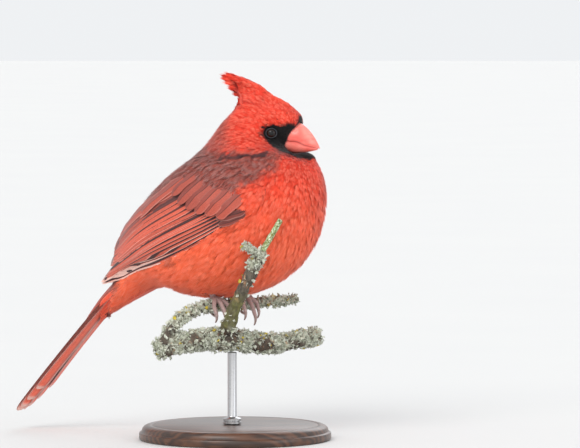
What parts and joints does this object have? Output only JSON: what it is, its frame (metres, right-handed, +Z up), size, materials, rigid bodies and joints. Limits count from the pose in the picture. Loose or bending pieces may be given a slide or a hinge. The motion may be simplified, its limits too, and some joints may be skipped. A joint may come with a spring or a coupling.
{
  "type": "northern cardinal model",
  "caption": "Life-size still model of a fluffed-up male northern cardinal gripping a cut lichened branch on a round display stand.",
  "frame": {"origin": "middle of the display base's flat underside", "axes": "+Z up from the floor, +X to the right in the picture's view, +Y away from its camera; the bird faces +X turned 20 degrees towards -Y"},
  "size_m": [0.173, 0.1177, 0.1954],
  "materials": {
    "red_plumage": "soft red body feathers with fine darker streaks, black round the bill",
    "wing_plumage": "brownish-red covert and flight feathers with dusky inner webs and pale edges",
    "tail_plumage": "orange-red tail feathers, darker above, with pale shafts and rims",
    "bill_horn": "coral-red horn, smooth and slightly glossy",
    "eye": "wet near-black dome with a dark brown iris",
    "foot_skin": "pinkish mauve-grey scaled skin",
    "claw_horn": "dark horn, paler at the tips",
    "bark": "grey-brown bark under crusts of pale green lichen",
    "stand_wood": "dark turned hardwood, satin",
    "stand_steel": "plain brushed rod with a turned collar"
  },
  "bodies": {
    "root": {"trunk": "red_plumage", "neck": "red_plumage", "head": "red_plumage", "crest": "red_plumage", "eye_left": "eye", "eye_right": "eye", "bill_upper": "bill_horn", "bill_lower": "bill_horn", "wing_left": "wing_plumage", "wing_right": "wing_plumage", "tail": "tail_plumage", "leg_left": "foot_skin", "leg_right": "foot_skin", "claw_left_outer": "claw_horn", "claw_left_middle": "claw_horn", "claw_left_inner": "claw_horn", "claw_left_hind": "claw_horn", "claw_right_outer": "claw_horn", "claw_right_middle": "claw_horn", "claw_right_inner": "claw_horn", "claw_right_hind": "claw_horn", "perch": "bark", "stand_base": "stand_wood", "stand_rod": "stand_steel"}
  },
  "joints": []
}
